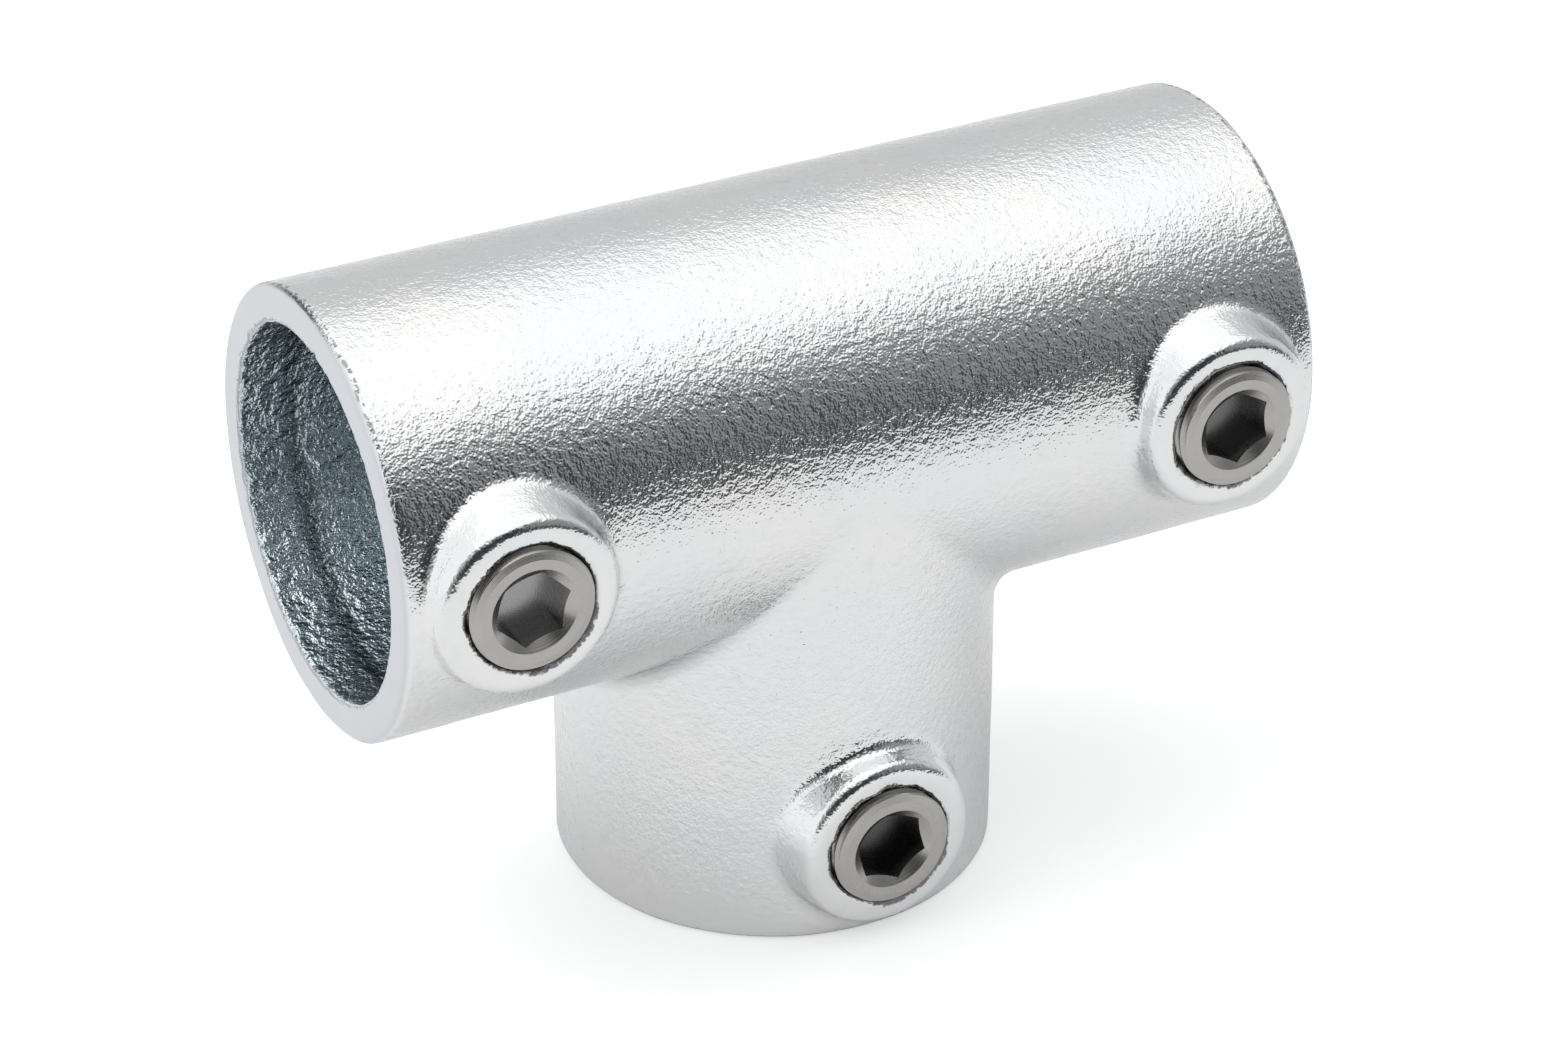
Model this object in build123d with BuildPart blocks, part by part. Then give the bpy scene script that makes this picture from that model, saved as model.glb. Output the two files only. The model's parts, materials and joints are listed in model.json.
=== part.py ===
"""Tube clamp tee: one casting with three sockets, and three hexagon-socket set screws.

Millimetres, +Z up. The origin is the centre of the branch mouth, on which the fitting
stands. The run lies along X above it, and all three set screws face -Y.
"""

import os
from math import radians, tan

from build123d import *

# The tube that the sockets take, and the cast wall round it
tube_diameter = 48.3
socket_clearance = 0.45
wall_thickness = 5.4
arm_reach = 65.5

# Casting details
crease_fillet = 3.5
mouth_edge = 0.8

# Screw bosses, one behind each mouth
boss_from_mouth = 15.2
boss_proud = 3.7
boss_face_radius = 12.0
boss_flank_angle = 15
boss_root_edge = 1.3
boss_rim_edge = 0.6

# Set screws, with a straight pipe thread, and the holes that they run in
thread_diameter = 16.66
thread_clearance = 0.05
screw_length = 9.0
screw_edge = 0.8
tip_edge = 1.0

# The key's socket in each screw
key_size = 9.0
key_depth = 4.8
key_lead_radius = 5.8
key_lead_angle = 38

# How far each screw's end stands out of its boss, and how far its socket is turned
screw_proud = {"left": 0.8, "right": 1.4, "branch": 1.0}
socket_turn = {"left": 16, "right": 33, "branch": -19}

# Worked out from the sizes above
bore_radius = tube_diameter / 2 + socket_clearance
outer_radius = bore_radius + wall_thickness
run_height = arm_reach
boss_reach = outer_radius + boss_proud
boss_offset = arm_reach - boss_from_mouth
thread_radius = thread_diameter / 2
screw_radius = thread_radius - thread_clearance
spare_length = 4 * crease_fillet

# Where each screw's axis crosses the axis of its own arm
screw_seats = {
    "left": (-boss_offset, 0, run_height),
    "right": (boss_offset, 0, run_height),
    "branch": (0, 0, boss_from_mouth),
}

# The plane of each mouth, facing outwards
mouths = [
    Plane(origin=(-arm_reach, 0, run_height), x_dir=(0, 1, 0), z_dir=(-1, 0, 0)),
    Plane(origin=(arm_reach, 0, run_height), x_dir=(0, 1, 0), z_dir=(1, 0, 0)),
    Plane(origin=(0, 0, 0), x_dir=(1, 0, 0), z_dir=(0, 0, -1)),
]


def front_plane(seat, distance):
    """The plane that faces -Y, at that distance in front of a seat."""
    return Plane(origin=(seat[0], -distance, seat[2]), x_dir=(1, 0, 0), z_dir=(0, -1, 0))


def section_plane(face):
    """The plane that cuts a face's axis lengthwise: x is the radius, y points outwards."""
    return Plane(origin=face.origin, x_dir=face.x_dir, z_dir=face.x_dir.cross(face.z_dir))


def turned(face, *outline, mode=Mode.ADD):
    """An outline of (radius, outward distance) points, turned about the face's axis."""
    with BuildSketch(section_plane(face)) as section:
        Polygon(*outline, align=None)
    revolve(section.sketch, axis=Axis(face.origin, face.z_dir), mode=mode)


# The casting: two cylinders of one size that cross, with a fillet along their crease. Both
# are too long here and are cut off at the mouths later, so that each blend ends cleanly.
with BuildPart() as tee_casting:
    with BuildSketch(mouths[1].offset(spare_length)):
        Circle(outer_radius)
    extrude(amount=-arm_reach - spare_length)
    with BuildSketch(mouths[2].offset(spare_length)):
        Circle(outer_radius)
    extrude(amount=-run_height - spare_length)
    fillet(tee_casting.edges().filter_by(GeomType.ELLIPSE), radius=crease_fillet)

    # Each boss is a tapered pad that grows out of the round wall and ends in a flat face.
    foot_depth = boss_reach / 2
    foot_radius = boss_face_radius + foot_depth * tan(radians(boss_flank_angle))
    for place in ("right", "branch"):
        turned(
            front_plane(screw_seats[place], boss_reach),
            (0, 0),
            (boss_face_radius - boss_rim_edge, 0),
            (boss_face_radius, -boss_rim_edge),
            (foot_radius, -foot_depth),
            (0, -foot_depth),
        )
        root = tee_casting.edges(Select.NEW).filter_by(GeomType.BSPLINE)
        chamfer(root, length=boss_root_edge)

    # The left half is the right half's mirror image.
    split(bisect_by=Plane.YZ, keep=Keep.TOP)
    mirror(about=Plane.YZ)
    for mouth in mouths:
        split(bisect_by=mouth, keep=Keep.BOTTOM)

    # The bores: the run's goes right through, with its seam high up behind, and the branch's
    # opens into it from below.
    with BuildSketch(Plane(origin=mouths[1].origin, x_dir=(0, 1, 1), z_dir=(1, 0, 0))):
        Circle(bore_radius)
    extrude(amount=-2 * arm_reach, mode=Mode.SUBTRACT)
    with BuildSketch(mouths[2]):
        Circle(bore_radius)
    extrude(amount=-run_height, mode=Mode.SUBTRACT)

    # Each mouth's outer edge
    for mouth in mouths:
        turned(
            mouth,
            (outer_radius - mouth_edge, 0),
            (outer_radius + spare_length, 0),
            (outer_radius + spare_length, -mouth_edge - spare_length),
            mode=Mode.SUBTRACT,
        )

    # The screw holes, through each boss into its socket
    for seat in screw_seats.values():
        with BuildSketch(front_plane(seat, boss_reach)):
            Circle(thread_radius)
        extrude(amount=-boss_reach, mode=Mode.SUBTRACT)


def make_set_screw(place):
    """A set screw: a plain body as wide as its thread, with a key's socket and a flat point."""
    face = front_plane(screw_seats[place], boss_reach + screw_proud[place])
    lead_depth = key_lead_radius * tan(radians(key_lead_angle))
    with BuildPart() as screw:
        turned(
            face,
            (0, 0),
            (screw_radius - screw_edge, 0),
            (screw_radius, -screw_edge),
            (screw_radius, -screw_length + tip_edge),
            (screw_radius - tip_edge, -screw_length),
            (0, -screw_length),
        )
        with BuildSketch(face):
            RegularPolygon(key_size / 2, 6, major_radius=False, rotation=socket_turn[place])
        extrude(amount=-key_depth, mode=Mode.SUBTRACT)
        turned(face, (0, 0), (key_lead_radius, 0), (0, -lead_depth), mode=Mode.SUBTRACT)
    screw.part.label = "set_screw_" + place
    return screw


tee_casting.part.label = "tee_casting"
pieces = [tee_casting] + [make_set_screw(place) for place in screw_seats]

os.makedirs("parts", exist_ok=True)
for piece in pieces:
    export_step(piece.part, "parts/" + piece.part.label + ".step")
    print(piece.part.label, "volume", round(piece.part.volume, 1), "mm3")
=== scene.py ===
"""Tube clamp tee fitting: the galvanised casting, its three set screws, and the studio.

Metres, +Z up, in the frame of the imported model. The casting and the screws stand for their
plain solids there, and take their sizes and places from them.
"""

import json
from math import atan2, ceil, cos, pi, radians, sin, tan

import bmesh
import bpy
import numpy as np
from mathutils import Matrix, Vector


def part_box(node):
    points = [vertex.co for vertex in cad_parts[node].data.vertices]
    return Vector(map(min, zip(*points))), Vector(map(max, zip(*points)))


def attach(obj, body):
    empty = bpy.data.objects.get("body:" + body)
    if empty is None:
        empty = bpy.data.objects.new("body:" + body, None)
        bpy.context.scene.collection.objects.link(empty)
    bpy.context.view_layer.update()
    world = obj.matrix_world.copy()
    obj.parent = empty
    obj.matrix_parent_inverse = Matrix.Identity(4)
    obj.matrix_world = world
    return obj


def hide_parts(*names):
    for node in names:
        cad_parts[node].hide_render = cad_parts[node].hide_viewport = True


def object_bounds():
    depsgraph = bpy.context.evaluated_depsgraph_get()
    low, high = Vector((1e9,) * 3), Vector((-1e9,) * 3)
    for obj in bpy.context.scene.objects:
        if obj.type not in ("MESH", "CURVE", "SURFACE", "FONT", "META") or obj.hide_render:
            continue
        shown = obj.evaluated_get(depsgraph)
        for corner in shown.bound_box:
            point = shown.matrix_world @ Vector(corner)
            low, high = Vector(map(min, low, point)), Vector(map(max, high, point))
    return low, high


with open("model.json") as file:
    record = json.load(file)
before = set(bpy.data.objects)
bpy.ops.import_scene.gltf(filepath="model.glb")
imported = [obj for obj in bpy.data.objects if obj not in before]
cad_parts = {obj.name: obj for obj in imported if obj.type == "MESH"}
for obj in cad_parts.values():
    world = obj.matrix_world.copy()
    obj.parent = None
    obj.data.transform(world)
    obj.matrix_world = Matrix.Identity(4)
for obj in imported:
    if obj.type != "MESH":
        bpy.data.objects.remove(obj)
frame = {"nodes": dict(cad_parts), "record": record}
cad_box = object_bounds()

mm = 0.001

# ---------------------------------------------------------------------------
# Sizes and places read from the frame
# ---------------------------------------------------------------------------
places = ("left", "right", "branch")
mounts = {mount["name"]: mount for mount in frame["record"]["mounts"]}
casting_low, casting_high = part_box("tee_casting")
arm_reach = casting_high.x
outer_radius = casting_high.y
boss_reach = -casting_low.y
run_height = mounts["run_socket_right"]["pos_m"][2]
bore_radius = mounts["run_socket_right"]["dims"]["r_mm"] * mm


def front_of(place):
    """The middle of a screw's front end."""
    low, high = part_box("set_screw_" + place)
    return Vector(((low.x + high.x) / 2, low.y, (low.z + high.z) / 2))


screw_fronts = {place: front_of(place) for place in places}
screw_low, screw_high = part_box("set_screw_left")
screw_radius = (screw_high.z - screw_low.z) / 2
screw_length = screw_high.y - screw_low.y


# ---------------------------------------------------------------------------
# Sizes of the casting's soft edges and blends
# ---------------------------------------------------------------------------
crease_fillet = 3.5 * mm
mouth_edge = 1.0 * mm
bore_edge = 0.5 * mm
bore_crease = 1.5 * mm

boss_face_radius = 12.0 * mm
boss_flank = radians(15)
boss_rim = 1.8 * mm
boss_root = 2.0 * mm

hole_radius = 8.33 * mm
hole_edge = 0.15 * mm
sink_width = 0.22 * mm
sink_swing = 0.14 * mm
sink_waves = 0.05 * mm

hole_edge_blend = 0.05 * mm

skin_sink = 0.08 * mm
skin_waves = 0.02 * mm

# The bores' cast skin, the ring that the core's print left in the left one, and its ragged edge
bore_waves = 0.04 * mm
core_ring_place = 7.5 * mm
core_ring_width = 1.2 * mm
core_ring_depth = 0.35 * mm
ragged_depth = 0.11 * mm
ragged_length = 1.5 * mm
ragged_side = 10 * mm

# ---------------------------------------------------------------------------
# Sizes of the set screws
# ---------------------------------------------------------------------------
thread_pitch = 1.337 * mm
thread_depth = 0.80 * mm
# The thread's outline over one pitch: how far up from its root, and the share of the pitch
thread_outline = ((0, 0.0), (0, 0.08), (1, 0.43), (1, 0.57), (0, 0.92), (0, 1.0))
shoulder_radius = 7.15 * mm
shoulder_fall = 0.25 * mm
front_chamfer = 0.20 * mm
tip_chamfer = 1.0 * mm
cup_radius = 5.0 * mm
cup_depth = 1.4 * mm
cup_flat = 1 / 8
key_flat = 4.5 * mm
key_depth = 4.8 * mm
key_lead = 5.8 * mm
key_lead_slope = tan(radians(38))
socket_turn = {"left": 16, "right": 33, "branch": -19}
# How dark the painted shade deep in each screw's key socket is
key_painted_shade = {"left": 0.34, "right": 0.17, "branch": 0.11}
tool_mark = 0.16 * mm
ring_steps = 96
sharp_turn = radians(12)

# ---------------------------------------------------------------------------
# Fineness of the casting's mesh
# ---------------------------------------------------------------------------
base_grain = 1.3 * mm
tight_edge = 1.1 * mm
edge_margins = (1.2 * mm, 0.45 * mm)
far_off = 1.0


# ---------------------------------------------------------------------------
# Skins: how far points stand out of a form, the way out, and how near an edge they are
# ---------------------------------------------------------------------------
def ripple(points, length, seed):
    """A smooth uneven value, about -2 to 2, that changes over that length."""
    draw = np.random.default_rng(seed)
    waves = 9
    total = np.zeros(len(points))
    for _ in range(waves):
        way = draw.normal(size=3)
        way *= 2 * pi / (length * draw.uniform(0.7, 1.5) * np.linalg.norm(way))
        total += np.sin(points @ way + draw.uniform(0, 2 * pi))
    return total / (waves / 2) ** 0.5


def no_edges(points):
    """Two columns for how near each point is to any edge, and to a tight one."""
    return np.full((len(points), 2), far_off)


def tube_skin(points, centre, along, radius):
    """A round wall about an axis."""
    away = points - np.array(centre)
    away = away - np.outer(away @ np.array(along, float), along)
    reach = np.maximum(np.linalg.norm(away, axis=1), 1e-9)
    return reach - radius, away / reach[:, None], no_edges(points)


def flat_skin(points, centre, facing):
    """A flat face."""
    out = (points - np.array(centre)) @ np.array(facing, float)
    return out, np.tile(np.array(facing, float), (len(points), 1)), no_edges(points)


def taper_skin(points, centre, radius, angle):
    """A cone about an axis along Y, of that radius at its centre, wider towards +Y."""
    away = points - np.array(centre)
    reach = np.maximum(np.hypot(away[:, 0], away[:, 2]), 1e-9)
    out = (reach - radius - away[:, 1] * tan(angle)) * cos(angle)
    way = np.stack(
        [away[:, 0] / reach * cos(angle), np.full(len(points), -sin(angle)),
         away[:, 2] / reach * cos(angle)], axis=1)
    return out, way, no_edges(points)


def only_where(skin, here):
    """A skin that counts only in one region."""
    out, way, edge = skin
    return np.where(here, out, far_off), way, edge


def inside_out(skin):
    out, way, edge = skin
    return -out, -way, edge


def filleted(first, second, radius):
    """Two forms as one, with a fillet of that radius in the hollow between them."""
    (out_a, way_a, edge_a), (out_b, way_b, edge_b) = first, second
    cosine = np.clip((way_a * way_b).sum(axis=1), -0.9995, 0.9995)
    gap_a = radius - out_a
    gap_b = radius - out_b
    share_a = (gap_a - cosine * gap_b) / (1 - cosine**2)
    share_b = (gap_b - cosine * gap_a) / (1 - cosine**2)
    blend = share_a[:, None] * way_a + share_b[:, None] * way_b
    reach = np.maximum(np.linalg.norm(blend, axis=1), 1e-9)
    in_fillet = (share_a > 0) & (share_b > 0)
    a_nearer = out_a < out_b
    out = np.where(in_fillet, radius - reach, np.where(a_nearer, out_a, out_b))
    plain_way = np.where(a_nearer[:, None], way_a, way_b)
    way = np.where(in_fillet[:, None], blend / reach[:, None], plain_way)
    corner = np.where(cosine < 0.93, np.maximum(abs(out_a), abs(out_b)) - radius, far_off)
    tight = corner if np.max(radius) < tight_edge else np.full(len(corner), far_off)
    edge = np.minimum(np.minimum(edge_a, edge_b), np.stack([corner, tight], axis=1))
    return out, way, edge


def trimmed(first, second, radius):
    """What two forms share, with the edge between them rounded to that radius."""
    return inside_out(filleted(inside_out(first), inside_out(second), radius))


def worked_near(skin, points, here, change):
    """Changes a skin at the points that a local form can reach, and leaves the rest."""
    spots = np.nonzero(here)[0]
    part = change(tuple(column[spots] for column in skin), points[spots])
    for column, worked in zip(skin, part):
        column[spots] = worked
    return skin


def bore_skin(points):
    """The air in the sockets: one bore through the run, and one up the branch into it."""
    radius = bore_radius + bore_waves * ripple(points, 9 * mm, 21)
    from_mouth = points[:, 0] + arm_reach
    off_ring = (from_mouth - core_ring_place) / core_ring_width
    core_ring = core_ring_depth * np.exp(-(off_ring**2))
    at_mouth = np.clip(2 - from_mouth / ragged_length, 0, 1)
    behind = np.clip(points[:, 1] / ragged_side, 0, 1)
    ragged = ragged_depth * at_mouth * behind * ripple(points, 3.2 * mm, 22)
    run = tube_skin(points, (0, 0, run_height), (1, 0, 0), radius + core_ring + ragged)
    branch = tube_skin(points, (0, 0, 0), (0, 0, 1), radius)
    branch = only_where(branch, points[:, 2] < run_height)
    return filleted(run, branch, bore_crease)


def hole_skin(points, front):
    """The air of a screw hole, with the uneven ring that its tap broke out of the boss."""
    axis_point = (front.x, -boss_reach, front.z)
    hole = tube_skin(points, axis_point, (0, 1, 0), hole_radius)
    low_side = ((points[:, 0] - front.x) - (points[:, 2] - front.z)) / (1.5 * hole_radius)
    width = sink_width + sink_swing * np.clip(low_side, -1, 1)
    width = width + sink_waves * ripple(points, 2.2 * mm, 5)
    sink = taper_skin(points, axis_point, hole_radius + np.maximum(width, 0), -pi / 4)
    return filleted(hole, sink, hole_edge_blend)


def boss_skin(points, front):
    """A tapered boss with a flat face and a rounded rim."""
    face_centre = (front.x, -boss_reach, front.z)
    flank = taper_skin(points, face_centre, boss_face_radius, boss_flank)
    return trimmed(flank, flat_skin(points, face_centre, (0, -1, 0)), boss_rim)


def casting_skin(points):
    """The whole casting."""
    run = tube_skin(points, (0, 0, run_height), (1, 0, 0), outer_radius)
    branch = tube_skin(points, (0, 0, 0), (0, 0, 1), outer_radius)
    skin = filleted(run, only_where(branch, points[:, 2] < run_height), crease_fillet)
    reach = {
        place: np.where(points[:, 1] < -outer_radius / 2,
                        np.hypot(points[:, 0] - front.x, points[:, 2] - front.z), far_off)
        for place, front in screw_fronts.items()
    }
    for place, front in screw_fronts.items():
        skin = worked_near(
            skin, points, reach[place] < 2 * boss_face_radius,
            lambda part, spots: filleted(part, boss_skin(spots, front), boss_root))
    for end, facing in (((arm_reach, 0, 0), (1, 0, 0)), ((-arm_reach, 0, 0), (-1, 0, 0)),
                        ((0, 0, 0), (0, 0, -1))):
        skin = trimmed(skin, flat_skin(points, end, facing), mouth_edge)
    skin = trimmed(skin, inside_out(bore_skin(points)), bore_edge)
    for place, front in screw_fronts.items():
        skin = worked_near(
            skin, points, reach[place] < 1.5 * hole_radius,
            lambda part, spots: trimmed(part, inside_out(hole_skin(spots, front)), hole_edge))
    out, way, edge = skin
    uneven = skin_waves * ripple(points, 16 * mm, 3) + 0.6 * skin_waves * ripple(points, 6 * mm, 4)
    return out + skin_sink + uneven, way, edge


# ---------------------------------------------------------------------------
# Mesh helpers
# ---------------------------------------------------------------------------
def points_of(mesh):
    found = np.empty(len(mesh.vertices) * 3)
    mesh.vertices.foreach_get("co", found)
    return found.reshape(-1, 3)


def seat_on_skin(shape, rounds):
    """Moves a bmesh's points onto the casting's skin."""
    points = np.array([point.co for point in shape.verts])
    for _ in range(rounds):
        out, way, edge = casting_skin(points)
        points = points - np.clip(out, -mm, mm)[:, None] * way
    for point, place in zip(shape.verts, points):
        point.co = place
    return casting_skin(points)[2]


def evened(shape, times):
    """Spreads a bmesh's points evenly over the skin."""
    for _ in range(times):
        bmesh.ops.smooth_vert(
            shape, verts=shape.verts, factor=0.5, use_axis_x=True, use_axis_y=True,
            use_axis_z=True)
        edge = seat_on_skin(shape, 2)
    return edge


def made_object(shape, name):
    mesh = bpy.data.meshes.new(name)
    shape.to_mesh(mesh)
    shape.free()
    piece = bpy.data.objects.new(name, mesh)
    bpy.context.scene.collection.objects.link(piece)
    return piece


def after_modifiers(piece):
    """Keeps what a piece's modifiers make of it, and clears them."""
    ready = piece.evaluated_get(bpy.context.evaluated_depsgraph_get())
    old = piece.data
    piece.data = bpy.data.meshes.new_from_object(ready)
    piece.modifiers.clear()
    bpy.data.meshes.remove(old)
    return piece


def smooth_faces(piece, sharp_angle):
    piece.data.shade_smooth()
    piece.data.set_sharp_from_angle(angle=sharp_angle)


# ---------------------------------------------------------------------------
# The casting
# ---------------------------------------------------------------------------
def make_casting():
    """The cast body: an even mesh, made finer along the edges, and seated on the skin."""
    shape = bmesh.new()
    shape.from_mesh(frame["nodes"]["tee_casting"].data)
    bmesh.ops.remove_doubles(shape, verts=shape.verts, dist=0.001 * mm)
    casting = made_object(shape, "cast_body")
    remesh = casting.modifiers.new("even", "REMESH")
    remesh.mode = "VOXEL"
    remesh.voxel_size = base_grain
    after_modifiers(casting)

    shape = bmesh.new()
    shape.from_mesh(casting.data)
    seat_on_skin(shape, 3)
    edge = evened(shape, 3)
    for column, margin in enumerate(edge_margins):
        near = edge[:, column] < margin
        shape.verts.index_update()
        fine = [
            line for line in shape.edges
            if near[line.verts[0].index] and near[line.verts[1].index]
        ]
        bmesh.ops.subdivide_edges(
            shape, edges=fine, cuts=1, use_grid_fill=True, use_single_edge=True)
        shape.verts.index_update()
        seat_on_skin(shape, 3)
        edge = evened(shape, 2)
    shape.to_mesh(casting.data)
    shape.free()
    mark_regions(casting)
    casting.data.shade_smooth()
    return casting


def eased(distance, start, end):
    """Goes smoothly from 0 to 1 between two distances."""
    step = np.clip((distance - start) / (end - start), 0, 1)
    return step * step * (3 - 2 * step)


def mark_regions(casting):
    """Stores how much each point belongs to the casting's parts that look different."""
    points = points_of(casting.data)
    bore = 1 - eased(abs(bore_skin(points)[0]), 0.15 * mm, 0.5 * mm)
    to_mouth = np.minimum(arm_reach - abs(points[:, 0]), points[:, 2])
    mouth = 1 - eased(to_mouth, 0.2 * mm, 0.7 * mm)

    hole = np.zeros(len(points))
    torn = np.zeros(len(points))
    boss = np.zeros(len(points))
    for front in screw_fronts.values():
        right, up = points[:, 0] - front.x, points[:, 2] - front.z
        reach = np.hypot(right, up)
        in_front = points[:, 1] < -0.8 * outer_radius
        boss = np.maximum(boss, (1 - eased(reach - boss_face_radius, 0, 2.5 * mm)) * in_front)

        # The tap tore the metal on each hole's lower right side.
        from_hole = reach - hole_radius
        low_right = np.clip((0.6 * right - up) / np.maximum(reach, mm), 0, 1)
        width = (1.3 * low_right**2 - 0.2) * mm
        torn_here = 1 - eased(from_hole, width, width + 0.25 * mm)
        torn = np.maximum(torn, torn_here * (points[:, 1] < -outer_radius))

        # Painted shade on each hole's wall just below the boss face, in the gap around the screw
        near = 1 - eased(from_hole, 0.55 * mm, 0.9 * mm)
        below_face = eased(points[:, 1] + boss_reach, 0.05 * mm, 0.25 * mm)
        hole = np.maximum(hole, near * below_face * (points[:, 1] < 0))

    regions = {"bore": bore, "mouth": mouth, "hole": hole, "torn": torn, "boss": boss}
    for name, values in regions.items():
        attribute = casting.data.attributes.new(name, "FLOAT", "POINT")
        attribute.data.foreach_set("value", values.astype(np.float32))


# ---------------------------------------------------------------------------
# The set screws
# ---------------------------------------------------------------------------
def key_reach(angle):
    """How far the hexagon socket reaches at an angle from one of its corners."""
    return key_flat / cos(angle % (pi / 3) - pi / 6)


def next_ring(shape, ring, reach_and_depth):
    """Extrudes a ring of edges, and puts each new point where its angle says."""
    made = bmesh.ops.extrude_edge_only(shape, edges=ring)["geom"]
    for point in made:
        if isinstance(point, bmesh.types.BMVert):
            angle = atan2(point.co.z, point.co.x)
            reach, depth = reach_and_depth(angle)
            point.co = (reach * cos(angle), depth, reach * sin(angle))
    return [line for line in made if isinstance(line, bmesh.types.BMEdge) and line.is_boundary]


def threaded_body(shape):
    """A right-hand thread along +Y, cut off square where the two ends begin."""
    root = screw_radius - thread_depth
    points = [
        shape.verts.new((root + height * thread_depth, (share - 1) * thread_pitch, 0))
        for height, share in thread_outline
    ]
    lines = [shape.edges.new(pair) for pair in zip(points, points[1:])]
    turns = ceil(screw_length / thread_pitch) + 1
    bmesh.ops.spin(
        shape, geom=points + lines, cent=(0, 0, 0), axis=(0, 1, 0), angle=2 * pi * turns,
        dvec=(0, thread_pitch / ring_steps, 0), steps=ring_steps * turns, use_merge=False,
        use_duplicate=False)
    bmesh.ops.remove_doubles(shape, verts=shape.verts, dist=0.004 * mm)
    thread_start = shoulder_fall + front_chamfer
    thread_end = screw_length - tip_chamfer
    for depth, facing in ((thread_start, 1), (thread_end, -1)):
        bmesh.ops.bisect_plane(
            shape, geom=shape.verts[:] + shape.edges[:] + shape.faces[:], dist=0.001 * mm,
            plane_co=(0, depth, 0), plane_no=(0, facing, 0), clear_inner=True)


def make_screw(place):
    """A set screw: thread, key's socket with a lead-in, and a cup point."""
    shape = bmesh.new()
    threaded_body(shape)
    open_lines = [line for line in shape.edges if line.is_boundary]
    middle = screw_length / 2
    front_ring = [line for line in open_lines if line.verts[0].co.y < middle]
    tip_ring = [line for line in open_lines if line.verts[0].co.y > middle]

    ring = next_ring(
        shape, front_ring, lambda angle: (screw_radius - front_chamfer, shoulder_fall))
    ring = next_ring(shape, ring, lambda angle: (shoulder_radius, 0))
    ring = next_ring(shape, ring, lambda angle: (key_lead, 0))
    ring = next_ring(
        shape, ring,
        lambda angle: (key_reach(angle), (key_lead - key_reach(angle)) * key_lead_slope))
    ring = next_ring(shape, ring, lambda angle: (key_reach(angle), key_depth))
    bmesh.ops.edgeloop_fill(shape, edges=ring)

    ring = next_ring(
        shape, tip_ring, lambda angle: (screw_radius - tip_chamfer, screw_length))
    ring = next_ring(shape, ring, lambda angle: (cup_radius, screw_length))
    cup_bottom = screw_length - cup_depth * (1 - cup_flat)
    ring = next_ring(shape, ring, lambda angle: (cup_radius * cup_flat, cup_bottom))
    bmesh.ops.edgeloop_fill(shape, edges=ring)

    bmesh.ops.recalc_face_normals(shape, faces=shape.faces)
    bmesh.ops.rotate(
        shape, verts=shape.verts, cent=(0, 0, 0),
        matrix=Matrix.Rotation(-radians(socket_turn[place]), 3, "Y"))
    bmesh.ops.translate(shape, verts=shape.verts, vec=screw_fronts[place])
    screw = made_object(shape, place + "_set_screw")
    smooth_faces(screw, sharp_turn)
    return screw


# ---------------------------------------------------------------------------
# Materials
# ---------------------------------------------------------------------------
def new_material(name):
    material = bpy.data.materials.new(name)
    material.use_nodes = True
    tree = material.node_tree
    return material, tree, tree.nodes["Principled BSDF"]


def node(tree, kind, inputs=(), **settings):
    """A shader node, with its settings, and its inputs joined or set by name or number."""
    made = tree.nodes.new("ShaderNode" + kind)
    for name, value in settings.items():
        setattr(made, name, value)
    for name, value in dict(inputs).items():
        if isinstance(value, bpy.types.NodeSocket):
            tree.links.new(value, made.inputs[name])
        else:
            made.inputs[name].default_value = value
    return made


def object_place(tree):
    return node(tree, "TexCoord").outputs["Object"]


def noise_of(tree, place, size, detail=2.0, roughness=0.5):
    """An uneven value from 0 to 1 with features of about that size."""
    made = node(tree, "TexNoise", {"Vector": place, "Scale": 1 / size, "Detail": detail,
                                   "Roughness": roughness})
    return made.outputs["Fac"]


def sum_of(tree, *terms):
    """The sum of (value, factor) terms."""
    total = 0.0
    for value, factor in terms:
        made = node(tree, "Math", {0: value, 1: factor, 2: total}, operation="MULTIPLY_ADD")
        total = made.outputs[0]
    return total


def mixed(tree, share, first, second):
    made = node(tree, "Mix", {0: share, 6: first, 7: second}, data_type="RGBA")
    return made.outputs[2]


def ranged(tree, value, low, high, to_low, to_high):
    made = node(tree, "MapRange", {"Value": value, "From Min": low, "From Max": high,
                                   "To Min": to_low, "To Max": to_high})
    return made.outputs["Result"]


def smooth_step(tree, value, low, high):
    made = node(tree, "MapRange", {"Value": value, "From Min": low, "From Max": high,
                                   "To Min": 0, "To Max": 1}, interpolation_type="SMOOTHSTEP")
    return made.outputs["Result"]


def product(tree, first, second):
    return node(tree, "Math", {0: first, 1: second}, operation="MULTIPLY").outputs[0]


def region(tree, name):
    """How much a point belongs to one of the casting's marked regions."""
    return node(tree, "Attribute", attribute_name=name).outputs["Fac"]


def bumped(tree, height, depth, normal=None):
    inputs = {"Height": height, "Strength": 1.0, "Distance": depth}
    if normal is not None:
        inputs["Normal"] = normal
    return node(tree, "Bump", inputs).outputs["Normal"]


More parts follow.
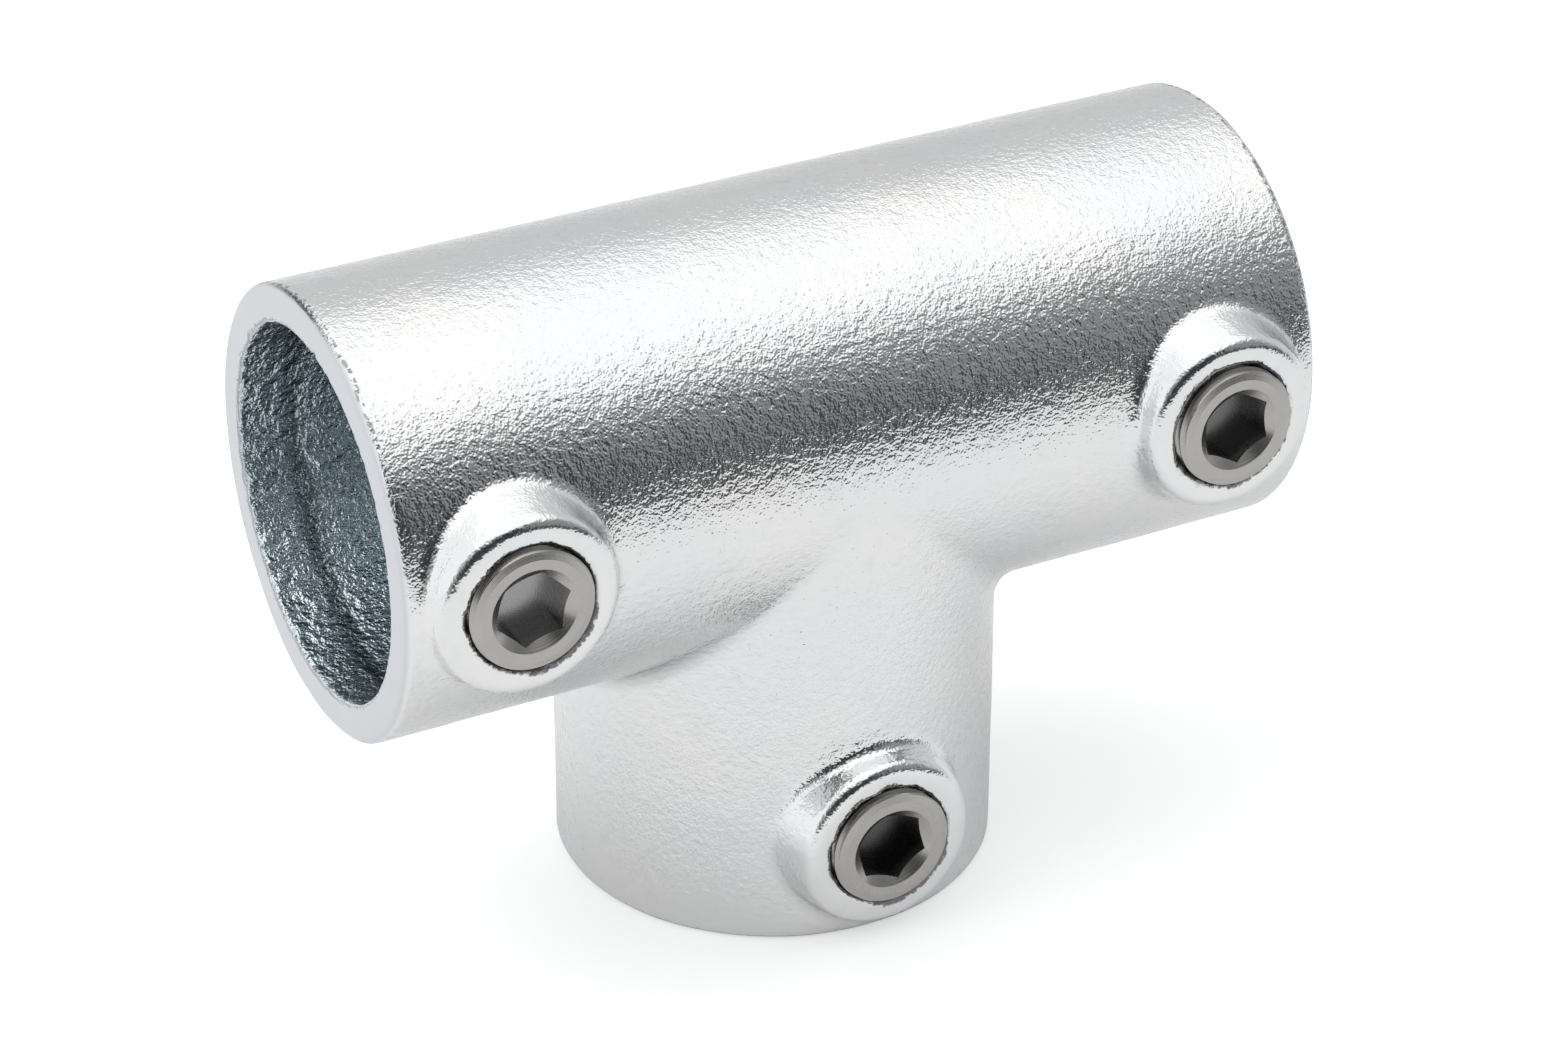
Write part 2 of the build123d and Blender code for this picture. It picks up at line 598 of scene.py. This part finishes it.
def painted_lip_reflection(tree, place, bore):
    """A painted dark reflection: broken spots along a line just behind the run mouths' outer
    edges, on their upper side.
    """
    split = node(tree, "SeparateXYZ", {0: place}).outputs
    across = node(tree, "Math", {0: split["X"]}, operation="ABSOLUTE").outputs[0]
    from_run_mouth = node(tree, "Math", {0: arm_reach, 1: across}, operation="SUBTRACT").outputs[0]
    inward = node(tree, "Math", {0: from_run_mouth, 1: split["Z"]}, operation="MINIMUM").outputs[0]
    uneven = noise_of(tree, place, 3 * mm, 1.0)
    inward = sum_of(tree, (uneven, 0.9 * mm), (inward, 1.0))
    off_line = node(tree, "Math", {0: inward, 1: 1.25 * mm}, operation="SUBTRACT").outputs[0]
    off_line = node(tree, "Math", {0: off_line}, operation="ABSOLUTE").outputs[0]
    on_line = ranged(tree, off_line, 0.15 * mm, 0.40 * mm, 1, 0)
    broken = ranged(tree, noise_of(tree, place, 0.7 * mm, 1.0), 0.48, 0.60, 0, 0.85)
    outside = sum_of(tree, (bore, -1.0), (1.0, 1.0))
    on_top = smooth_step(tree, split["Z"], run_height + 5 * mm, run_height + 18 * mm)
    return product(tree, product(tree, on_line, broken), product(tree, on_top, outside))


def core_crease_painted_shade(tree, place, bore):
    """Painted shade along a crease in the left bore, where the core's print met the core."""
    across = node(tree, "SeparateXYZ", {0: place}).outputs["X"]
    uneven = noise_of(tree, place, 9 * mm, 2.0)
    from_crease = sum_of(tree, (uneven, 3 * mm), (across, 1.0), (1.0, arm_reach - 9 * mm))
    from_crease = node(tree, "Math", {0: from_crease}, operation="ABSOLUTE").outputs[0]
    return product(tree, smooth_step(tree, from_crease, 2.0 * mm, 0.3 * mm), bore)


def zinc():
    """Bright zinc over a cast skin: an orange-peel grain, duller in the bores, with painted shade
    and painted light in its colour.
    """
    material, tree, skin = new_material("bright_zinc")
    place = object_place(tree)
    bore, mouth = region(tree, "bore"), region(tree, "mouth")
    hole, torn, boss = region(tree, "hole"), region(tree, "torn"), region(tree, "boss")

    # Pools of the bath: cool and warm patches, and finer mottling
    pools = noise_of(tree, place, 22 * mm, 2.0)
    mottle = noise_of(tree, place, 2.5 * mm, 2.0, 0.6)
    colour = mixed(tree, ranged(tree, pools, 0.35, 0.65, 0, 1),
                   (0.83, 0.83, 0.82, 1), (0.79, 0.82, 0.83, 1))
    colour = mixed(tree, ranged(tree, mottle, 0.55, 0.75, 0, 0.35), colour,
                   (0.72, 0.745, 0.76, 1))
    colour = mixed(tree, mouth, colour, (0.64, 0.66, 0.69, 1))

    # The bores: a blue-grey tint, with painted shade high up and painted light that makes them
    # paler towards the bottom
    height = node(tree, "SeparateXYZ", {0: place}).outputs["Z"]
    low_down = smooth_step(tree, height, run_height - 4 * mm, run_height - 20 * mm)
    bore_tint_and_painted_light = mixed(tree, low_down, (0.58, 0.655, 0.69, 1), (0.80, 0.88, 0.92, 1))
    colour = mixed(tree, bore, colour, bore_tint_and_painted_light)
    # Painted shade along the core's crease in the left bore
    colour = mixed(tree, core_crease_painted_shade(tree, place, bore), colour, (0.33, 0.37, 0.40, 1))
    # Painted shade on the screw holes' walls, in the gap around each screw
    colour = mixed(tree, hole, colour, (0.20, 0.19, 0.19, 1))

    # A painted dark reflection in a broken line behind the run mouths' outer edges, and torn metal
    # beside the screws
    lip_painted_reflection = painted_lip_reflection(tree, place, bore)
    colour = mixed(tree, lip_painted_reflection, colour, (0.30, 0.31, 0.33, 1))
    crumbs = noise_of(tree, place, 0.35 * mm, 1.0)
    torn = sum_of(tree, (torn, 1.0), (crumbs, 0.9), (1.0, -0.45))
    torn = ranged(tree, torn, 0.45, 0.85, 0, 1)
    colour = mixed(tree, torn, colour, (0.24, 0.23, 0.24, 1))
    tree.links.new(colour, skin.inputs["Base Color"])
    skin.inputs["Metallic"].default_value = 1.0

    rough = sum_of(tree, (mottle, 0.10), (bore, 0.04), (mouth, 0.08), (hole, 0.35), (lip_painted_reflection, 0.2),
                   (torn, 0.3), (1.0, 0.09))
    tree.links.new(rough, skin.inputs["Roughness"])

    # The grain: rounded bumps about a millimetre across, with finer ones on them. It is
    # calmer on the mouths' faces and the bosses, and the bores have deeper pits as well.
    bumps = noise_of(tree, place, 0.95 * mm, 1.0)
    bits = noise_of(tree, place, 0.31 * mm, 0.5)
    grain = sum_of(tree, (bumps, 1.0), (bits, 0.56), (lip_painted_reflection, -0.9))
    liveliness = sum_of(tree, (mouth, -0.8), (torn, 0.9), (boss, -0.5), (1.0, 1.0))
    normal = bumped(tree, product(tree, grain, liveliness), 0.13 * mm)
    pits = noise_of(tree, place, 1.7 * mm, 3.0, 0.62)
    normal = bumped(tree, product(tree, pits, bore), 0.95 * mm, normal)
    tree.links.new(normal, skin.inputs["Normal"])
    return material


def steel(place):
    """Turned stainless steel, with fine rings about a screw's axis and painted shade deep in its
    key socket.
    """
    material, tree, skin = new_material("turned_steel_" + place)
    centre, socket_painted_shade = screw_fronts[place], key_painted_shade[place]
    point = object_place(tree)
    away = node(tree, "VectorMath", {0: point, 1: (centre.x, 0, centre.z)}, operation="SUBTRACT")
    flat = node(tree, "VectorMath", {0: away.outputs[0], 1: (1, 0, 1)}, operation="MULTIPLY")
    radius = node(tree, "VectorMath", {0: flat.outputs[0]}, operation="LENGTH").outputs["Value"]
    turn = product(tree, radius, 1 / tool_mark)
    rings = node(tree, "TexNoise", {"W": turn, "Scale": 1.0, "Detail": 2.0},
                 noise_dimensions="1D").outputs["Fac"]
    cloud = noise_of(tree, point, 3 * mm, 3.0)
    colour = mixed(tree, cloud, (0.42, 0.405, 0.385, 1), (0.50, 0.485, 0.46, 1))

    # Painted shade deep in the key socket, darker in some screws than in others
    inward = node(tree, "SeparateXYZ", {0: away.outputs[0]}).outputs["Y"]
    deep = smooth_step(tree, inward, centre.y + key_depth * 0.2, centre.y + key_depth * 0.6)
    in_socket = smooth_step(tree, radius, key_lead, key_lead * 0.9)
    painted_shade_share = product(tree, deep, in_socket)
    colour = mixed(tree, painted_shade_share, colour, (socket_painted_shade, socket_painted_shade, socket_painted_shade, 1))
    tree.links.new(colour, skin.inputs["Base Color"])
    skin.inputs["Metallic"].default_value = 1.0

    rough = sum_of(tree, (cloud, 0.12), (rings, 0.10), (1.0, 0.16))
    tree.links.new(rough, skin.inputs["Roughness"])
    normal = bumped(tree, sum_of(tree, (rings, 0.35), (cloud, 0.5)), 0.02 * mm)
    tree.links.new(normal, skin.inputs["Normal"])
    return material


def finish_with(piece, material):
    piece.data.materials.clear()
    piece.data.materials.append(material)


# ---------------------------------------------------------------------------
# The studio: floor, surroundings and camera
# ---------------------------------------------------------------------------
floor_half = 0.7
floor_drop = 0.02 * mm
floor_shade = 0.72
camera_lift = 0.50
mirror_lift = 0.19

wall_colour = (0.66, 0.67, 0.67, 1)
ceiling_colour = (1.23, 1.23, 1.23, 1)
ceiling_start, ceiling_full = 36, 56

# The panels that hang in the room, each laid over those before it, in degrees: the bearing
# of the middle from the front towards +X, half the width with the fade beside it, and the
# lowest and highest elevation with the softness past them
room_panels = {
    "left_light": (
        (1.05, 1.06, 1.07, 1),
        dict(bearing=-105, half_width=35, fade=15, low=0, high=50, soft=10)),
    "back_card": (
        (0.12, 0.125, 0.13, 1),
        dict(bearing=-155, half_width=14, fade=12, low=6, high=32, soft=6)),
    "front_light": (
        ceiling_colour,
        dict(bearing=60, half_width=45, fade=25, low=50, high=90, soft=10)),
    "front_card": (
        (0.27, 0.28, 0.29, 1),
        dict(bearing=6, half_width=49, fade=32, low=-20, high=35, soft=19)),
    "card_core": (
        (0.04, 0.043, 0.047, 1),
        dict(bearing=-9, half_width=21, fade=18, low=-20, high=31, soft=14)),
    "low_edge": (
        (0.07, 0.073, 0.077, 1),
        dict(bearing=10, half_width=40, fade=30, low=-20, high=4, soft=8)),
}


def make_floor():
    """A pale floor, whose edge lies a little under the fitting's own horizon."""
    shape = bmesh.new()
    bmesh.ops.create_grid(
        shape, x_segments=2, y_segments=2, size=floor_half,
        matrix=Matrix.Translation((0, 0, cad_box[0].z - floor_drop)))
    floor = made_object(shape, "floor")
    material, tree, skin = new_material("white_floor")
    skin.inputs["Base Color"].default_value = (floor_shade, floor_shade, floor_shade, 1)
    skin.inputs["Roughness"].default_value = 0.9
    skin.inputs["Specular IOR Level"].default_value = 0.0
    path = node(tree, "LightPath")
    mirrored = node(tree, "Math", {0: path.outputs["Is Glossy Ray"],
                                   1: path.outputs["Is Transmission Ray"]}, operation="MAXIMUM")
    lift = sum_of(tree, (path.outputs["Is Camera Ray"], camera_lift),
                  (mirrored.outputs[0], mirror_lift))
    skin.inputs["Emission Color"].default_value = (1, 1, 1, 1)
    tree.links.new(lift, skin.inputs["Emission Strength"])
    finish_with(floor, material)


def panel(tree, way, bearing, half_width, fade, low, high, soft):
    """1 inside a panel of the room and 0 outside it, with soft edges."""
    height = node(tree, "SeparateXYZ", {0: way}).outputs["Z"]
    faced = Vector((sin(radians(bearing)), -cos(radians(bearing)), 0))
    ahead = node(tree, "VectorMath", {0: way, 1: faced}, operation="DOT_PRODUCT").outputs["Value"]
    # A little over 1, so that the level part is never quite nothing straight up
    whole = 1.0001
    level = node(tree, "Math", {0: whole, 1: product(tree, height, height)},
                 operation="SUBTRACT").outputs[0]
    level = node(tree, "Math", {0: level}, operation="SQRT").outputs[0]
    lean = node(tree, "Math", {0: ahead, 1: level}, operation="DIVIDE").outputs[0]
    across = smooth_step(tree, lean, cos(radians(half_width + fade)), cos(radians(half_width)))
    over = smooth_step(tree, height, sin(radians(low - soft)), sin(radians(low)))
    under = smooth_step(tree, height, sin(radians(high + soft)), sin(radians(high)))
    return product(tree, product(tree, across, over), under)


def make_surroundings():
    """The room: a bright ceiling, grey walls, lights, and dark cards that the zinc mirrors."""
    world = bpy.data.worlds.new("studio")
    bpy.context.scene.world = world
    world.use_nodes = True
    tree = world.node_tree
    tree.nodes.clear()
    way = node(tree, "TexCoord").outputs["Generated"]
    height = node(tree, "SeparateXYZ", {0: way}).outputs["Z"]
    overhead = smooth_step(
        tree, height, sin(radians(ceiling_start)), sin(radians(ceiling_full)))
    shade = mixed(tree, overhead, wall_colour, ceiling_colour)
    for colour, edges in room_panels.values():
        shade = mixed(tree, panel(tree, way, **edges), shade, colour)
    path = node(tree, "LightPath")
    shade = mixed(tree, path.outputs["Is Camera Ray"], shade, (1, 1, 1, 1))
    light = node(tree, "Background", {"Color": shade, "Strength": 1.0})
    out = tree.nodes.new("ShaderNodeOutputWorld")
    tree.links.new(light.outputs[0], out.inputs["Surface"])


def make_lamp():
    """A large soft lamp, high on the left, that grounds the fitting on the floor."""
    lamp = bpy.data.lights.new("soft_lamp", "AREA")
    lamp.shape = "DISK"
    lamp.size = 0.9
    lamp.energy = 3.5
    holder = bpy.data.objects.new("soft_lamp", lamp)
    holder.location = (-0.55, 0.25, 1.0)
    aim = Vector((0, 0, 0.05)) - Vector(holder.location)
    holder.rotation_euler = aim.to_track_quat("-Z", "Y").to_euler()
    holder.visible_glossy = False
    bpy.context.scene.collection.objects.link(holder)


def make_camera():
    """A long lens, from the front left and above."""
    azimuth, elevation, distance = radians(-27.47), radians(30.10), 0.6016
    target = Vector((0.0001, 0.0, 0.0461))
    back = Vector((sin(azimuth) * cos(elevation), -cos(azimuth) * cos(elevation), sin(elevation)))
    camera = bpy.data.cameras.new("camera")
    camera.lens = 104.6
    camera.sensor_width = 36
    camera.clip_start = 0.01
    holder = bpy.data.objects.new("camera", camera)
    holder.location = target + distance * back
    holder.rotation_euler = (-back).to_track_quat("-Z", "Y").to_euler()
    bpy.context.scene.collection.objects.link(holder)
    bpy.context.scene.camera = holder


# ---------------------------------------------------------------------------
# The whole scene
# ---------------------------------------------------------------------------
bpy.context.scene.view_settings.view_transform = "Standard"
make_camera()
make_surroundings()
make_lamp()
make_floor()

casting = make_casting()
finish_with(casting, zinc())
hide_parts("tee_casting")
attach(casting, "casting")

for place in places:
    screw = make_screw(place)
    finish_with(screw, steel(place))
    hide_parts("set_screw_" + place)
    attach(screw, place + "_screw")
